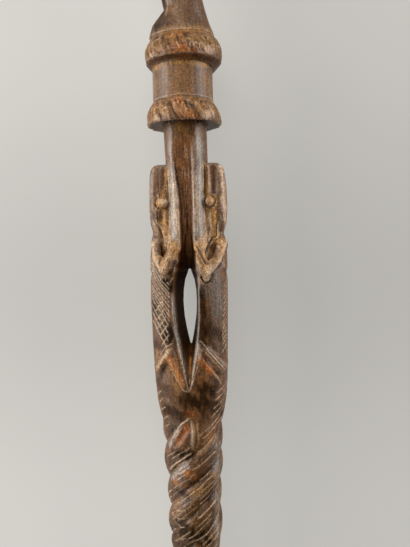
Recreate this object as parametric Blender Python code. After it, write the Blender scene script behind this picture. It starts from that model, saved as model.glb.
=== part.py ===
"""Ceremonial staff, carved from one length of hardwood and lying on its back.

Two crocodiles climb the shaft, one up each side of a pierced slit, and their tails twist
together into a rope of four strands below. Above them are a plain neck, two fluted collars
with a drum between them, and a leaning upper neck that ends in a plain knob.

The carving is laid out in the staff's own frame, in millimetres: x to its right, height along
it towards the knob, z towards its front. Height 0 is near the top of the slit. At the end the
staff is pitched by a degree onto its back, and its collars and foot get the small flats that
it rests on.
"""

import math
from collections import namedtuple

import bmesh
import bpy
from mathutils import Matrix, Vector

MM = 0.001  # metres in a millimetre

# Length
KNOB_TOP = 300.0
KNOB_LENGTH = 46.0
FOOT_END = -750.0
FOOT_ROUND = 3.0

# Radii of the plain round lengths
KNOB_RADIUS = 21.0
UPPER_NECK_RADIUS = 15.3
UPPER_NECK_BASE = 24.4
DRUM_RADIUS = 22.5
NECK_RADIUS = 15.8
GRIP_RADIUS = 17.2
FOOT_RADIUS = 12.0

# Collars: the foot is where the underside leaves the shaft, and the rim is its lower edge
Collar = namedtuple("Collar", "foot rim top foot_radius radius top_width top_depth shift")
COLLAR_UPPER = Collar(152.6, 157.6, 177.8, 23.6, 29.2, 22.8, 17.0, 0.8)
COLLAR_LOWER = Collar(111.4, 110.3, 127.2, 23.4, 28.0, 23.6, 23.6, -0.4)
COLLAR_ROOT = 14.0  # the collars reach this far into the shaft
COLLAR_ROWS = (0.0, 0.16, 0.4, 0.7, 1.0)  # shares of the height over the rim
COLLAR_BELLY = 0.2  # share at which it is widest
COLLAR_EDGE = 0.6  # the rim is drawn in by this
COLLAR_TILT = 0.06  # both hang lower at the front
COLLAR_UNDERCUT = -0.05  # while the undersides are cut higher there
FLUTES = 14
FLUTE_DEPTH = 1.7
FLUTE_LEAN = 0.8  # of a flute's width, from the collar's foot to its top

# Crocodiles
BODY_WIDTH = 28.8  # half the width over both bodies
BODY_DEPTH = 21.5  # half the depth
HEAD_WIDTH = 29.2  # half the width over both heads
HEAD_TOP = 81.5
HEAD_INNER = 11.0  # the heads reach this far into the neck
EYE = Vector((17.4, 52.6, 10.2))
EYE_RADIUS = 3.8
SLIT_CENTRE = 0.5
LIMB_STEP = 0.25  # how much fuller each hull starts than the last one ended
BODY_LEVEL = -78.0  # above this the points round the shaft are evenly spaced

# Rope of tails
STRANDS = 4
GROOVE_FRONTS = (-103.0, -131.2, -152.4, -173.6)  # where each groove first passes the front
QUARTER_RISE = 21.2  # height that a groove climbs in a quarter turn
FIRST_RISE = 22.95  # the same for the first groove, which starts high
STRAND_DEPTH = 3.4
ROPE_FULL = 22.3  # radius where the tails meet
ROPE_SLIM = 20.3  # radius below ROPE_TAPER
ROPE_TAPER = -162.0
ROPE_HIGH = GROOVE_FRONTS[0]
ROPE_LOW = -206.0
ROPE_LEVELS = 23

# Crookedness of the wood: (height, spread, sideways shift)
BENDS = ((55.0, 50.0, 1.2), (138.0, 14.0, -1.2))

# Resting on its back: depth of the resting plane behind the axis, at two heights
REST_COLLAR = (161.0, 27.8)
REST_FOOT = (FOOT_END, 11.4)

SIDES = 32  # points round the shaft, a multiple of the strands
COLLAR_SIDES = 3 * FLUTES
HEAD_SIDES = 16
CUT_TOP = 32.0  # the slit's cutters end clear of the carving
SAME_PLANE = 1.0  # degrees between faces that are taken as one

Level = namedtuple("Level", "height width depth centre square groove gutter spread",
                   defaults=(0.0, 2.0, 0.0, 0.0, 30.0))


def round_level(height, radius, centre=0.0, **more):
    """A round cross-section."""
    return Level(height, radius, radius, centre, **more)


def mix(low, high, share):
    """The value this share of the way from low to high."""
    return low + (high - low) * share


def ease(share):
    """0 to 1 with soft ends."""
    share = min(max(share, 0.0), 1.0)
    return share * share * (3.0 - 2.0 * share)


def outline_point(angle, width, depth, square):
    """x and z of a rounded outline; angle 0 is the front, and square 2 is an ellipse."""
    side, front = math.sin(angle), math.cos(angle)
    power = 2.0 / square
    return (width * math.copysign(abs(side) ** power, side),
            depth * math.copysign(abs(front) ** power, front))


# ---- The shaft, from its foot to its knob ----

def shaft_levels():
    """The plain tapering shaft."""
    return [
        round_level(FOOT_END, FOOT_RADIUS - FOOT_ROUND * 0.6),
        round_level(FOOT_END + FOOT_ROUND * 0.4, FOOT_RADIUS - FOOT_ROUND * 0.15),
        round_level(FOOT_END + FOOT_ROUND, FOOT_RADIUS),
        round_level(mix(FOOT_END, ROPE_LOW, 0.5), mix(FOOT_RADIUS, GRIP_RADIUS, 0.6)),
        round_level(ROPE_LOW - 30.0, GRIP_RADIUS),
    ]


def rope_radius(height):
    """Radius over the strands' crowns: it tapers down the rope to the grip."""
    taper = mix(ROPE_SLIM, ROPE_FULL, ease((height - ROPE_TAPER) / 30.0))
    return mix(GRIP_RADIUS, taper, ease((height - ROPE_LOW) / 14.0))


def rope_levels():
    """The tails as a rope, its grooves shallow at both ends."""
    levels = []
    for i in range(ROPE_LEVELS + 1):
        height = mix(ROPE_LOW, ROPE_HIGH, i / ROPE_LEVELS)
        radius = rope_radius(height)
        fade = ease((ROPE_HIGH - height) / 11.0) * ease((height - ROPE_LOW) / 9.0)
        join = ease((height + 118.0) / 18.0)
        levels.append(Level(height, radius + 1.5 * join, mix(radius, BODY_DEPTH, join),
                            groove=STRAND_DEPTH * fade))
    return levels


def groove_angle(groove, height):
    """Angle round the staff of a groove at this height; groove 4 is the first one, a turn on."""
    height = max(height, ROPE_LOW)
    turns, groove = divmod(groove, STRANDS)
    rise = FIRST_RISE if groove == 0 else QUARTER_RISE
    twisted = (height - GROOVE_FRONTS[groove]) / rise * math.pi / 2
    plain = groove * math.pi / 2
    blend = ease((height - ROPE_HIGH) / (BODY_LEVEL - ROPE_HIGH))
    return mix(twisted, plain, blend) + turns * math.tau


def body_levels():
    """Both bodies, from the tails up to where the neck comes out between the forelimbs."""
    return [
        Level(-97.5, 24.8, BODY_DEPTH, square=2.05),
        Level(-92.0, 25.8, BODY_DEPTH, square=2.1),
        Level(-86.0, 26.4, BODY_DEPTH, square=2.15),
        Level(-80.0, 26.9, BODY_DEPTH, square=2.2),
        Level(-50.0, 28.0, BODY_DEPTH, square=2.4),
        Level(-20.0, BODY_WIDTH, BODY_DEPTH, square=2.4),
        Level(-4.0, BODY_WIDTH, BODY_DEPTH, square=2.4),
        Level(4.0, BODY_WIDTH - 1.2, BODY_DEPTH - 1.2, square=2.3),
        Level(9.0, 21.0, 18.4, square=2.2),
        Level(15.0, 17.0, 17.4, gutter=6.0, spread=20.0),
    ]


def neck_levels():
    """The neck, up into the lower collar; a gutter runs down its front and back to the slit."""
    return [
        round_level(30.0, NECK_RADIUS + 0.8, gutter=9.0, spread=24.0),
        round_level(42.0, NECK_RADIUS + 0.3, gutter=8.2, spread=25.0),
        round_level(56.0, NECK_RADIUS, gutter=6.6, spread=27.0),
        round_level(70.0, NECK_RADIUS, gutter=5.0, spread=33.0),
        round_level(HEAD_TOP, NECK_RADIUS, gutter=3.2, spread=36.0),
        round_level(96.0, NECK_RADIUS + 0.3, gutter=2.0, spread=34.0),
        round_level(COLLAR_LOWER.foot + 5.0, NECK_RADIUS + 0.6, gutter=1.2, spread=32.0),
    ]


def drum_levels():
    """The drum, from inside the lower collar to inside the upper one."""
    return [
        round_level(COLLAR_LOWER.foot + 7.0, DRUM_RADIUS),
        round_level(COLLAR_UPPER.foot + 12.0, DRUM_RADIUS),
    ]


def upper_neck_levels():
    """The neck above the collars: it leans to the left, on a base widened to both sides."""
    base = COLLAR_UPPER.top
    return [
        Level(base - 7.0, UPPER_NECK_BASE, 17.4),
        Level(base + 1.0, UPPER_NECK_BASE - 0.2, 16.4, -0.4),
        Level(base + 8.0, 21.6, 16.0, -0.6),
        Level(base + 15.5, 17.4, 15.6, 1.5),
        round_level(base + 19.0, UPPER_NECK_RADIUS + 0.1, 2.5),
        round_level(base + 28.0, UPPER_NECK_RADIUS, 0.6),
        round_level(base + 49.0, UPPER_NECK_RADIUS - 0.3, -4.6),
        round_level(base + 67.0, UPPER_NECK_RADIUS - 0.8, -7.0),
    ]


def knob_levels():
    """A plain egg of a knob, flattened a little at its crown."""
    middle = KNOB_TOP - KNOB_LENGTH / 2
    levels = []
    for degrees in (-38, -18, 0, 20, 40, 58, 74, 84):
        reach, rise = math.cos(math.radians(degrees)), math.sin(math.radians(degrees))
        levels.append(round_level(middle + KNOB_LENGTH / 2 * rise, KNOB_RADIUS * reach, -7.8))
    return levels


def level_ring(level):
    """The points of one cross-section of the shaft: a quarter of them between two grooves."""
    ring = []
    for i in range(SIDES):
        groove, share = divmod(i * STRANDS / SIDES, 1.0)
        angle = mix(groove_angle(int(groove), level.height),
                    groove_angle(int(groove) + 1, level.height), share)
        crown = math.sin(math.pi * share) ** 0.75
        off_middle = math.degrees(math.asin(abs(math.sin(angle))))
        gutter = level.gutter * max(1.0 - (off_middle / level.spread) ** 1.4, 0.0)
        x, z = outline_point(angle, level.width, level.depth, level.square)
        shrink = 1.0 - (level.groove * (1.0 - crown) + gutter) / level.width
        ring.append(Vector((level.centre + x * shrink, level.height, z * shrink)))
    return ring


def make_core():
    """The whole shaft as one closed loft."""
    levels = (shaft_levels() + rope_levels() + body_levels() + neck_levels() + drum_levels()
              + upper_neck_levels() + knob_levels())
    return loft("core", [level_ring(level) for level in levels])


# ---- What stands on the shaft ----

def collar_rows(collar):
    """(height, half width, half depth, share of the flutes' depth) up a collar's outline."""
    rows = [(collar.foot, COLLAR_ROOT, COLLAR_ROOT, 0.0),
            (collar.foot, collar.foot_radius, collar.foot_radius, 0.2)]
    for share in COLLAR_ROWS:
        drawn_in = max((share - COLLAR_BELLY) / (1.0 - COLLAR_BELLY), 0.0) ** 2.2
        radius = collar.radius - (COLLAR_EDGE if share == 0.0 else 0.0)
        rows.append((mix(collar.rim, collar.top, share),
                     mix(radius, collar.top_width, drawn_in),
                     mix(radius, collar.top_depth, drawn_in),
                     math.sin(math.pi * mix(0.2, 0.85, share))))
    rows.append((collar.top, COLLAR_ROOT, COLLAR_ROOT, 0.0))
    return rows


def make_collar(name, collar):
    """A collar with leaning flutes round it, undercut to its foot and fullest near its rim."""
    rings = []
    for height, width, depth, cut in collar_rows(collar):
        rise = (height - collar.foot) / (collar.top - collar.foot)
        tilt = COLLAR_UNDERCUT if height == collar.foot else COLLAR_TILT
        lean = FLUTE_LEAN * math.tau / FLUTES * rise
        ring = []
        for i in range(COLLAR_SIDES):
            angle = math.tau * i / COLLAR_SIDES
            crown = abs(math.sin(FLUTES * angle / 2)) ** 0.8
            shrink = FLUTE_DEPTH * cut * (1.0 - crown)
            x = collar.shift + (width - shrink) * math.sin(angle - lean)
            z = (depth - shrink) * math.cos(angle - lean)
            ring.append(Vector((x, height - tilt * z, z)))
        rings.append(ring)
    return loft(name, rings)


def make_head(side):
    """A crocodile's head and throat, snout up, at one side of the neck."""
    levels = (  # height, outer edge, half depth
        (-10.0, 24.0, 8.0),
        (4.0, BODY_WIDTH, 11.5),
        (14.0, BODY_WIDTH, 10.0),
        (24.0, BODY_WIDTH - 0.8, 9.4),
        (30.0, BODY_WIDTH - 2.6, 9.0),
        (38.0, HEAD_WIDTH - 0.7, 10.0),
        (48.0, HEAD_WIDTH, 10.6),
        (62.0, HEAD_WIDTH, 10.0),
        (74.0, HEAD_WIDTH - 1.0, 9.0),
        (HEAD_TOP - 2.5, HEAD_WIDTH - 2.2, 8.4),
        (HEAD_TOP, HEAD_WIDTH - 5.0, 7.4),
    )
    rings = []
    for height, outer, depth in levels:
        ring = []
        for i in range(HEAD_SIDES):
            x, z = outline_point(math.tau * i / HEAD_SIDES, (outer - HEAD_INNER) / 2, depth, 3.0)
            ring.append(Vector((side * ((outer + HEAD_INNER) / 2 + x), height, z)))
        rings.append(ring)
    return loft(f"head_{'right' if side > 0 else 'left'}", rings)


def limb_joints(side):
    """(centre, radius) of each joint of a crocodile's two visible limbs, at the front."""
    if side > 0:
        fore = (((25.2, 21.6, 6.6), 3.9), ((21.8, 9.8, 11.6), 3.5), ((12.8, 0.2, 16.8), 5.4),
                ((8.4, 17.0, 14.4), 3.6), ((7.0, 22.6, 14.6), 1.8))
        hind = (((21.4, -67.4, 12.0), 5.8), ((10.0, -54.8, 16.4), 6.2),
                ((2.6, -77.0, 18.8), 3.4), ((0.8, -83.0, 19.6), 2.0))
    else:
        fore = (((-23.0, 29.0, 3.8), 3.8), ((-24.0, 22.4, 7.2), 3.6), ((-22.2, 12.0, 11.2), 3.4),
                ((-15.0, 4.0, 16.8), 5.2), ((-8.8, 18.6, 14.0), 4.6), ((-6.4, 25.0, 14.2), 2.6))
        hind = (((-20.6, -66.6, 12.8), 5.2), ((-12.6, -56.0, 16.8), 5.6),
                ((-5.0, -75.6, 18.8), 3.4), ((-2.4, -82.0, 19.6), 2.0))
    return fore, hind


def make_limbs(side, face):
    """Fore and hind limb of one crocodile on the front (face 1) or the back (face -1)."""
    made = []
    for word, joints in zip(("fore", "hind"), limb_joints(side)):
        joints = [(Vector((x, y, z * face)), radius) for (x, y, z), radius in joints]
        for i, (near, far) in enumerate(zip(joints, joints[1:])):
            fuller = (near[0], near[1] + LIMB_STEP)
            made.append(hull(f"{word}_limb_{i}", [fuller, far]))
    return made


def make_eye(side, face):
    """A round boss for an eye."""
    return hull("eye", [(Vector((side * EYE.x, EYE.y, face * EYE.z)), EYE_RADIUS)])


def make_slit(face):
    """Cutter for one face of the slit: its walls flare towards the surface."""
    levels = (  # height, depth of its floor, half width there, width left and right at the surface
        (40.0, 9.6, 1.0, 1.2, 1.2),
        (30.0, 8.2, 2.4, 3.6, 3.6),
        (18.0, 5.0, 3.2, 6.0, 6.0),
        (9.0, 1.8, 2.2, 8.2, 7.8),
        (2.6, -0.4, 0.8, 9.5, 8.5),
        (-4.0, -0.5, 3.2, 10.6, 8.9),
        (-12.0, -0.5, 4.5, 11.0, 9.0),
        (-20.0, -0.5, 4.8, 11.0, 8.9),
        (-30.0, -0.5, 4.3, 10.6, 8.7),
        (-40.0, -0.5, 2.7, 9.6, 8.1),
        (-51.0, -0.4, 0.5, 7.4, 6.6),
        (-64.0, 8.0, 0.5, 4.4, 4.1),
        (-76.0, 16.4, 0.4, 2.2, 2.2),
        (-88.0, 24.0, 0.2, 0.5, 0.5),
    )
    rings = []
    for height, floor, narrow, left, right in levels:
        flare = (CUT_TOP - floor) / max(BODY_DEPTH - floor, 4.0)
        left, right = (narrow + (wide - narrow) * flare for wide in (left, right))
        corners = ((-narrow, floor), (narrow, floor), (right, CUT_TOP), (-left, CUT_TOP))
        rings.append([Vector((x + SLIT_CENTRE, height, z * face)) for x, z in corners])
    return loft(f"slit_{'front' if face > 0 else 'back'}", rings)


def make_gouges(side, face):
    """Cutters for the hollows between head and neck: above the eye, and down to the elbow."""
    top, brow = HEAD_TOP + 4.0, EYE.y + 7.5
    if side > 0:
        snout = [(Vector((20.8, top, face * 12.4)), 5.2), (Vector((20.2, brow, face * 12.0)), 3.6)]
    else:
        snout = [(Vector((-15.6, top, face * 12.0)), 4.8), (Vector((-15.4, brow, face * 11.6)), 2.8)]
    throat = [(Vector((side * 18.4, EYE.y - 7.0, face * 13.4)), 4.2),
              (Vector((side * 19.2, 10.0, face * 11.6)), 4.8)]
    return [hull("snout_hollow", snout), hull("throat_hollow", throat)]


# ---- Meshes ----

def add_object(name, bm):
    """A new object from closed bmesh, its faces turned outwards."""
    bmesh.ops.recalc_face_normals(bm, faces=bm.faces)
    mesh = bpy.data.meshes.new(name)
    bm.to_mesh(mesh)
    bm.free()
    obj = bpy.data.objects.new(name, mesh)
    bpy.context.scene.collection.objects.link(obj)
    return obj


def loft(name, rings):
    """A closed skin through rings that have the same number of points."""
    bm = bmesh.new()
    rows = [[bm.verts.new(point) for point in ring] for ring in rings]
    for low, high in zip(rows, rows[1:]):
        for i in range(len(low)):
            j = (i + 1) % len(low)
            bm.faces.new((low[i], low[j], high[j], high[i]))
    bmesh.ops.triangulate(bm, faces=bm.faces, quad_method="SHORT_EDGE")
    bm.faces.new(rows[0])
    bm.faces.new(rows[-1])
    return add_object(name, bm)


def hull(name, balls):
    """The tight skin round some balls, as a carver leaves a limb."""
    bm = bmesh.new()
    for centre, radius in balls:
        bmesh.ops.create_icosphere(bm, subdivisions=2 if radius > 3.0 else 1, radius=radius,
                                   matrix=Matrix.Translation(centre))
    skin = bmesh.ops.convex_hull(bm, input=bm.verts)
    spare = [e for e in skin["geom_interior"] + skin["geom_unused"]
             if isinstance(e, bmesh.types.BMVert)]
    bmesh.ops.delete(bm, geom=spare, context="VERTS")
    loose = [f for f in bm.faces if f not in set(skin["geom"])]
    bmesh.ops.delete(bm, geom=loose, context="FACES")
    return add_object(name, bm)


def combine(target, parts, operation):
    """Unites parts with target, or cuts them from it, and takes them off the scene."""
    group = bpy.data.collections.new("parts")
    for part in parts:
        group.objects.link(part)
    boolean = target.modifiers.new(operation.lower(), "BOOLEAN")
    boolean.operation = operation
    boolean.operand_type = "COLLECTION"
    boolean.collection = group
    boolean.solver = "EXACT"
    graph = bpy.context.evaluated_depsgraph_get()
    result = bpy.data.meshes.new_from_object(target.evaluated_get(graph))
    target.modifiers.clear()
    target.data = result
    for part in parts:
        bpy.data.objects.remove(part)
    bpy.data.collections.remove(group)


def join_flat_faces(bm):
    """Joins the slivers left by the cuts over the carved length into whole faces."""
    carved = {v for v in bm.verts if BODY_LEVEL < v.co.y < COLLAR_UPPER.top + 4.0}
    edges = [e for e in bm.edges if carved.issuperset(e.verts)]
    bmesh.ops.dissolve_limit(bm, angle_limit=math.radians(SAME_PLANE),
                             verts=list(carved), edges=edges)
    bmesh.ops.triangulate(bm, faces=[f for f in bm.faces if len(f.verts) > 4])


def bend(bm):
    """Gives the straight carving the slight crookedness of the wood."""
    for vert in bm.verts:
        for height, spread, shift in BENDS:
            vert.co.x += shift * math.exp(-((vert.co.y - height) / spread) ** 2)


def lay_down(bm):
    """Pitches the staff onto its back and cuts the flats that it rests on."""
    slope = (REST_COLLAR[1] - REST_FOOT[1]) / (REST_COLLAR[0] - REST_FOOT[0])
    pitch = math.atan(slope)
    touch = Vector((0.0, REST_COLLAR[0], -REST_COLLAR[1]))
    turn = Matrix.Rotation(pitch, 4, "X") @ Matrix.Translation(-touch)
    bmesh.ops.transform(bm, matrix=turn, verts=bm.verts)
    whole = bm.verts[:] + bm.edges[:] + bm.faces[:]
    bmesh.ops.bisect_plane(bm, geom=whole, plane_co=(0, 0, 0), plane_no=(0, 0, 1),
                           clear_inner=True)
    bmesh.ops.holes_fill(bm, edges=[e for e in bm.edges if e.is_boundary])


def centre(bm):
    """Puts the middle of the resting plane under the staff at the origin."""
    for axis in (0, 1):
        span = [vert.co[axis] for vert in bm.verts]
        middle = (min(span) + max(span)) / 2
        for vert in bm.verts:
            vert.co[axis] -= middle


def carved_wood():
    """Dark, handled hardwood."""
    material = bpy.data.materials.new("carved_wood")
    material.use_nodes = True
    shader = material.node_tree.nodes["Principled BSDF"]
    shader.inputs["Base Color"].default_value = (0.085, 0.045, 0.026, 1.0)
    shader.inputs["Roughness"].default_value = 0.48
    shader.inputs["Metallic"].default_value = 0.0
    return material


def make_staff():
    """The staff as one solid."""
    staff = make_core()
    staff.name = staff.data.name = "staff"
    corners = [(side, face) for side in (-1, 1) for face in (1, -1)]
    combine(staff, [make_collar("collar_upper", COLLAR_UPPER),
                    make_collar("collar_lower", COLLAR_LOWER),
                    make_head(-1), make_head(1)], "UNION")
    combine(staff, [cut for corner in corners for cut in make_gouges(*corner)], "DIFFERENCE")
    combine(staff, [limb for corner in corners for limb in make_limbs(*corner)]
            + [make_eye(*corner) for corner in corners], "UNION")
    combine(staff, [make_slit(1), make_slit(-1)], "DIFFERENCE")

    bm = bmesh.new()
    bm.from_mesh(staff.data)
    join_flat_faces(bm)
    bend(bm)
    lay_down(bm)
    centre(bm)
    bmesh.ops.scale(bm, vec=(MM, MM, MM), verts=bm.verts)
    bm.to_mesh(staff.data)
    bm.free()
    staff.data.shade_smooth()
    staff.data.set_sharp_from_angle(angle=math.radians(32))
    staff.data.materials.append(carved_wood())
    return staff


def main():
    for obj in list(bpy.data.objects):
        bpy.data.objects.remove(obj)
    make_staff()


main()
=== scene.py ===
import math

import bmesh
import bpy
import numpy as np
from mathutils import Matrix, Vector
from mathutils.bvhtree import BVHTree


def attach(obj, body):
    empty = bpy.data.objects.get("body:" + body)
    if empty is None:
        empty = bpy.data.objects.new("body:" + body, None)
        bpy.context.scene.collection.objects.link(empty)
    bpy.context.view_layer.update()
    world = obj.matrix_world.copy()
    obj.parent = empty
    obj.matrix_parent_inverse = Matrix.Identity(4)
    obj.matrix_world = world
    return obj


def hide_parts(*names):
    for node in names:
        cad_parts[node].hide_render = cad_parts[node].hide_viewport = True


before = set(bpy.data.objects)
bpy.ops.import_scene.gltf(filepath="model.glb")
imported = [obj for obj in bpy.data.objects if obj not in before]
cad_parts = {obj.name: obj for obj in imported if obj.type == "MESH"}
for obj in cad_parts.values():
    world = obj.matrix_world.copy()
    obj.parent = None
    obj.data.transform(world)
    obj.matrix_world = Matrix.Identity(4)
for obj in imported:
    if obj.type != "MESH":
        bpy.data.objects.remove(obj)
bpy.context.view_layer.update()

# The staff's own frame is in millimetres: x to its right, y along it, z out of its front.
# It lies on the back of its collars and on its foot, a degree out of level.
lying = {
    "collarHeight": 161.0,
    "collarBack": 27.8,
    "footHeight": -750.0,
    "footBack": 11.4,
    "across": -0.793,
    "along": 386.573,
}


def staffToWorld():
    rise = lying["collarBack"] - lying["footBack"]
    pitch = math.atan(rise / (lying["collarHeight"] - lying["footHeight"]))
    place = Matrix.Translation((lying["across"] / 1000, lying["along"] / 1000, 0))
    onBack = Matrix.Translation((0, -lying["collarHeight"], lying["collarBack"]))
    return place @ Matrix.Scale(0.001, 4) @ Matrix.Rotation(pitch, 4, "X") @ onBack


toWorld = staffToWorld()


def evaluated(obj):
    graph = bpy.context.evaluated_depsgraph_get()
    return bpy.data.meshes.new_from_object(obj.evaluated_get(graph))


def withModifier(obj, kind, **settings):
    # applies one modifier to the object's mesh
    modifier = obj.modifiers.new(kind.lower(), kind)
    for name, value in settings.items():
        setattr(modifier, name, value)
    result = evaluated(obj)
    obj.modifiers.clear()
    obj.data = result


def coordinates(mesh):
    co = np.empty(len(mesh.vertices) * 3, np.float32)
    mesh.vertices.foreach_get("co", co)
    return co.reshape(-1, 3)


def setCoordinates(mesh, co):
    mesh.vertices.foreach_set("co", co.astype(np.float32).ravel())
    mesh.update()


def normals(mesh):
    out = np.empty(len(mesh.vertices) * 3, np.float32)
    mesh.vertex_normals.foreach_get("vector", out)
    return out.reshape(-1, 3)


def smoothStep(low, high, value):
    share = np.clip((value - low) / (high - low), 0.0, 1.0)
    return share * share * (3.0 - 2.0 * share)


def hump(value, start, full, fade, end):
    # 0 outside and 1 inside, with soft ends
    return smoothStep(start, full, value) * (1.0 - smoothStep(fade, end, value))


def storeMask(mesh, name, values):
    layer = mesh.attributes.new(name, "FLOAT", "POINT")
    layer.data.foreach_set("value", values.astype(np.float32))


# The solid, skinned finely enough to be carved.
block = {
    "voxel": 0.5,
    "rounding": 7,        # passes that melt the solid's facets
    "turning": 36,        # more of them over the plain round lengths
    "plainAbove": 186,    # mm along the staff
    "chatter": 0.04,      # mm of unevenness left by the blade where the staff is carved
    "carvedDown": -215.0,
    "backChatter": 0.45,  # share of that unevenness at the back
    "seed": 2,
    "triangles": 195000,
}


def makeBlock():
    bm = bmesh.new()
    bm.from_mesh(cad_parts["staff"].data)
    bmesh.ops.remove_doubles(bm, verts=bm.verts, dist=1e-6)
    bmesh.ops.transform(bm, matrix=toWorld.inverted(), verts=bm.verts)
    mesh = bpy.data.meshes.new("carvedStaff")
    bm.to_mesh(mesh)
    bm.free()
    staff = bpy.data.objects.new("carvedStaff", mesh)
    bpy.context.scene.collection.objects.link(staff)
    withModifier(staff, "REMESH", mode="VOXEL", voxel_size=block["voxel"])
    withModifier(staff, "SMOOTH", iterations=block["rounding"], factor=0.5)
    height = coordinates(staff.data)[:, 1]
    grip = (height < block["carvedDown"]) & (height > lying["footHeight"] + 5)
    plain = grip | (height > block["plainAbove"])
    group = staff.vertex_groups.new(name="plain")
    group.add(np.flatnonzero(plain).tolist(), 1.0, "REPLACE")
    withModifier(staff, "SMOOTH", iterations=block["turning"], factor=0.5, vertex_group="plain")
    staff.vertex_groups.clear()
    return staff


# Knife lines and gouge cuts are laid on the surface. A line is (points, width, depth, tone):
# points are (degrees round from the front, mm along the staff), width is from its middle to its
# edge in mm, depth is mm sunk, or raised if negative, and tone runs from 1, pale wear, to -1,
# dark;
# some pale lines are painted highlights and some dark ones painted shadow.
cuts = {
    "seed": 11,
    "waver": 0.35,       # mm that a hand-cut line strays
    "spacing": 0.35,     # mm between the points of a line
    "degree": 0.35,      # mm round the staff for a degree
    "outside": 70,       # mm from the axis, clear of the whole staff
    "easing": 5,         # points over which a line bends and fades out
    "rounds": 3,         # times that its bends are eased
    "short": 12,         # points of a line that is left as it is
    "deeper": 1.0,       # multiplies the depth of every line
}


def between(first, last, count):
    # lines stepped evenly from the first to the last
    first, last = np.array(first, float), np.array(last, float)
    return [first + (last - first) * i / (count - 1) for i in range(count)]


def scaleCuts():
    # a crocodile's scales: two sets of crossing lines over the left flank, worn on the right
    fine = between([(-90, 20), (-74, 13), (-50, 1), (-30, -8)],
                   [(-90, -6), (-68, -13), (-50, -22), (-33, -33)], 9)
    down = between([(-90, -9), (-66, -18), (-50, -26), (-34, -37)],
                   [(-88, -30), (-62, -36), (-50, -45), (-37, -54)], 4)
    up = between([(-60, -27), (-43, -17)], [(-50, -50), (-33, -42)], 5)
    lines = [(line, 0.7, 0.8, 0.7) for line in fine]
    lines += [(line, 0.85, 0.9, 0.8) for line in down + up]
    for first, last, count in (
            ([(68, -10), (90, 0)], [(62, -58), (90, -46)], 12),
            ([(64, -34), (88, -50)], [(62, -44), (84, -62)], 4),
            ([(52, -86), (68, -83), (84, -79)], [(40, -110), (62, -104), (85, -93)], 5),
            ([(-73, -89), (-56, -84)], [(-62, -111), (-43, -108)], 5),
            ([(34, -62), (62, -80)], [(30, -56), (60, -72)], 2)):
        lines += [(line, 0.6, 0.4, 0.75) for line in between(first, last, count)]
    return lines


def limbCuts():
    return [
        ([(25, -48), (42, -58), (60, -70)], 0.7, 0.6, 0.7),
        ([(27, -60), (42, -68), (55, -76)], 0.6, 0.6, 0.4),
        ([(24, -56), (15, -70), (0, -84)], 0.6, 0.5, 0.7),
        ([(-34, -67), (-22, -76), (-9, -84), (0, -84)], 0.6, 0.5, 0.6),
        ([(-28, -49), (-43, -53), (-56, -62)], 0.7, 0.6, 0.7),
        ([(-31, -56), (-42, -60), (-52, -68)], 0.8, -0.3, 0.9),
        ([(25, 21), (31, 13), (38, 6)], 0.9, 0.8, -0.9),
        ([(20, 19), (27, 11), (33, 4)], 0.8, 0.7, -0.7),
        ([(68, 26), (57, 17), (46, 9)], 1.2, 0.9, -0.9),
        # painted highlights: pale raised lines along the forelimbs' lit ridges, here and on the
        # next line
        ([(72, 20), (60, 9), (46, 1)], 0.9, -0.3, 0.7),
        ([(-66, 24), (-58, 11), (-42, 1)], 0.8, -0.3, 0.6),
        ([(-52, 23), (-50, 14), (-45, 7)], 1.2, 0.8, -0.9),
        ([(-31, 25), (-32, 15), (-37, 2)], 0.7, -0.3, 0.6),
        # cuts under the elbows, darkened as painted shadow, here and on the next line
        ([(27, -1), (33, -7), (41, -7), (50, 0)], 1.3, 1.1, -0.8),
        ([(-24, 0), (-30, -5), (-38, -5), (-46, 2)], 1.3, 1.0, -0.6),
    ]


def headCuts():
    return [
        ([(53, 49), (58, 47.5), (62, 49.5)], 0.8, 0.5, -0.4),
        ([(-52, 49.5), (-56, 48), (-61, 50)], 0.8, 0.5, -0.4),
        ([(65, 80), (61, 57)], 1.0, -0.4, 0.7),
        ([(62, 80), (58, 57)], 0.6, 0.6, -0.9),
        ([(-62, 80), (-58, 58)], 0.8, -0.3, 0.5),
        ([(-67, 80), (-62, 59)], 0.6, 0.5, -0.7),
        ([(66, 45), (69, 28), (58, 15)], 0.6, 0.6, -0.8),
        ([(71, 44), (74, 28), (60, 18)], 0.6, 0.6, -0.8),
        ([(62, 46), (64, 34), (62, 24)], 0.6, -0.3, 0.9),
        ([(68, 38), (70, 28), (62, 16)], 0.6, -0.3, 0.9),
        ([(-63, 60), (-66, 40), (-60, 18)], 0.6, -0.3, 0.8),
        ([(-64, 46), (-66, 30), (-56, 14)], 0.6, 0.5, -0.7),
    ] + [(line, 0.5, 0.35, 0.8) for line in between(
        [(72, 58), (82, 50)], [(72, 46), (84, 38)], 4) + between(
        [(74, 42), (84, 50)], [(76, 50), (84, 58)], 3)] + [
        (line, 0.6, 0.4, 0.5) for line in between(
            [(-76, 68), (-84, 52), (-78, 40)], [(-70, 64), (-76, 52), (-72, 44)], 3)]


def collarCuts(rng):
    # loops and slanted nicks, no two alike, under a ridge nicked all round
    lines = []
    for low, high, ridge in collars["bands"]:
        turn = -180.0
        while turn < 180.0:
            middle = rng.uniform(low + 3.5, high - 3.0)
            if rng.random() < 0.6:
                ring = [(turn + 4.0 * math.cos(a), middle + 2.8 * math.sin(a))
                        for a in np.linspace(0.3, 0.3 + rng.uniform(3.0, 4.6), 7)]
                lines.append((ring, 0.65, 0.6, rng.choice((-0.6, 0.7, 0.9))))
            else:
                lines.append(([(turn - 2.5, middle + 2.5), (turn + 2.0, middle - 2.5)],
                              0.6, 0.6, rng.choice((-0.8, -0.6, 0.8))))
            turn += rng.uniform(5.0, 11.0)
        lines += [([(a, ridge), (a + 3, ridge - 1.8)], 0.4, 0.4, -0.5)
                  for a in range(-180, 180, 9)]
        lines.append(([(a, ridge + 0.4) for a in range(-180, 181, 6)], 0.6, -0.3, 0.4))
    return lines


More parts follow.
